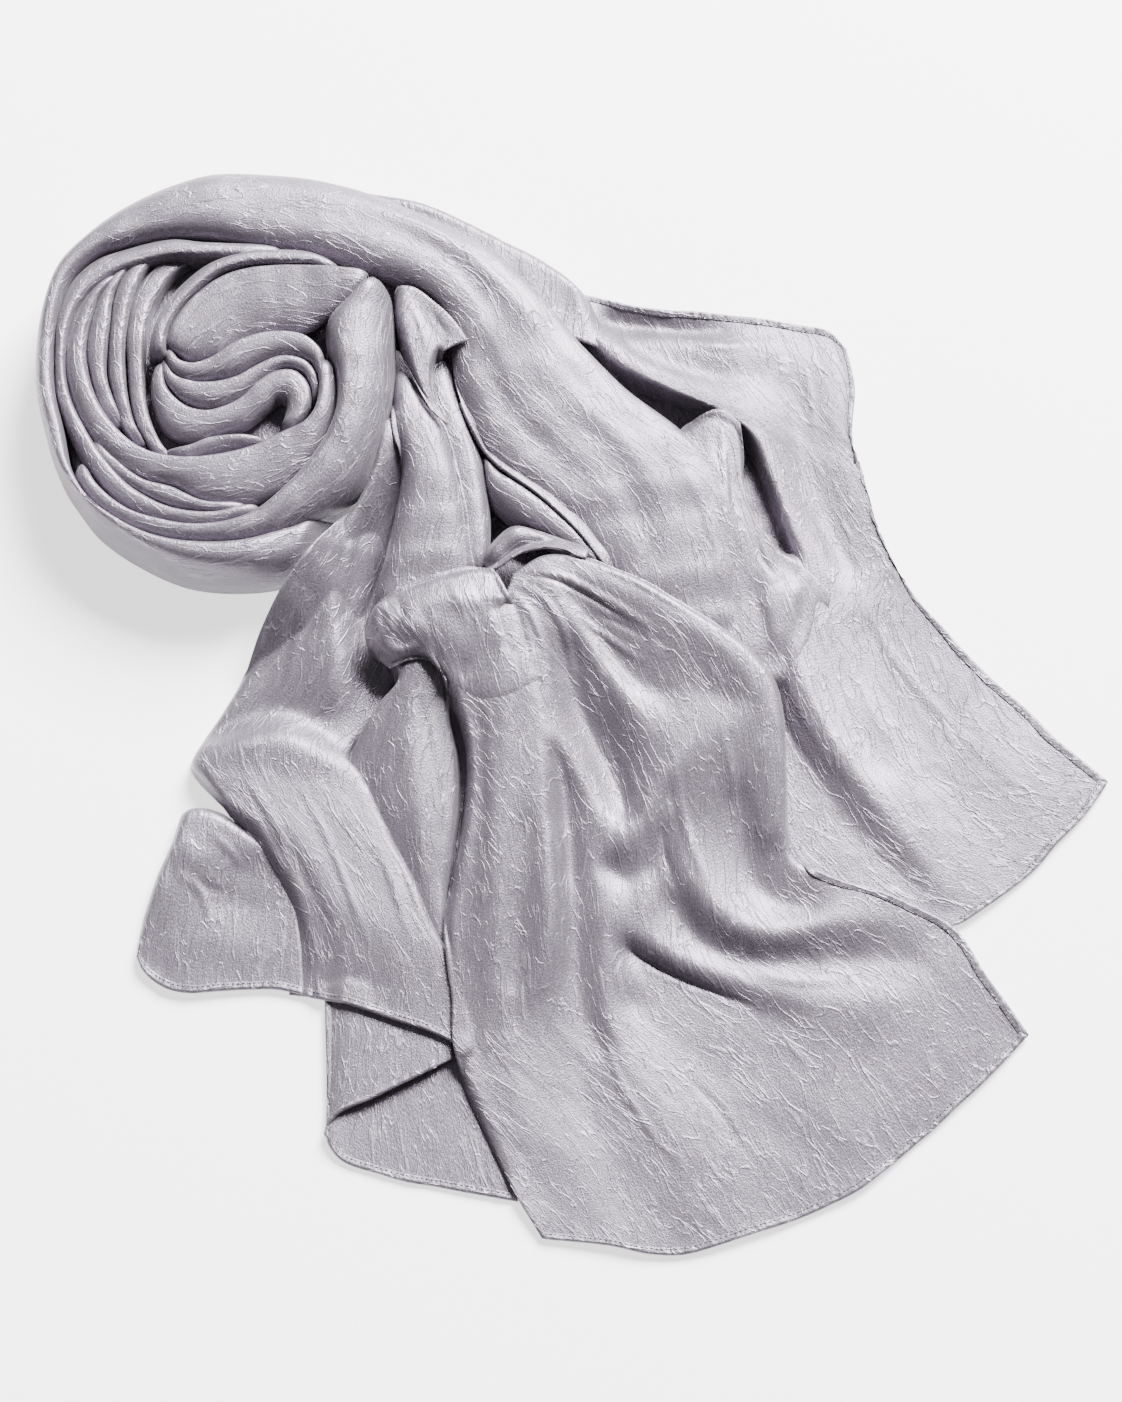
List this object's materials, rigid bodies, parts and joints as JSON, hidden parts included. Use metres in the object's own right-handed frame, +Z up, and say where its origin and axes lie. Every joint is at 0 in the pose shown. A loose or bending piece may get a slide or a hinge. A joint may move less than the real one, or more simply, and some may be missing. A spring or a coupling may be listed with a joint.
{
  "type": "hijab",
  "caption": "Crinkled satin hijab laid folded on a surface: one end wound into a rosette, a loose knot in the middle, both hemmed ends fanned out.",
  "frame": {"origin": "middle of the outline, on the surface that the cloth lies on", "axes": "+Z up from the surface, +Y from the front end towards the rosette, +X towards the right end"},
  "size_m": [0.5738, 0.5921, 0.052],
  "materials": {
    "satin": "soft satin sheen over a fine raised crinkle"
  },
  "bodies": {
    "root": {"behind": "satin", "collar_petal": "satin", "front_end": "satin", "hem_fold": "satin", "hidden_layers": "satin", "knot": "satin", "leaf": "satin", "left_flap": "satin", "main_band": "satin", "ribbon_1": "satin", "ribbon_2": "satin", "right_end": "satin", "rosette_curl": "satin", "rosette_lens": "satin", "rosette_petal": "satin", "rosette_ring_1": "satin", "rosette_ring_2": "satin", "rosette_ring_3": "satin", "rosette_ring_4": "satin", "rosette_ring_5": "satin", "rosette_s_1": "satin", "rosette_s_2": "satin", "rosette_strip_1": "satin", "rosette_strip_2": "satin", "rosette_strip_3": "satin", "rosette_wrap": "satin", "second_fold": "satin", "small_petal": "satin", "under_roll": "satin", "under_tail": "satin"}
  },
  "joints": []
}
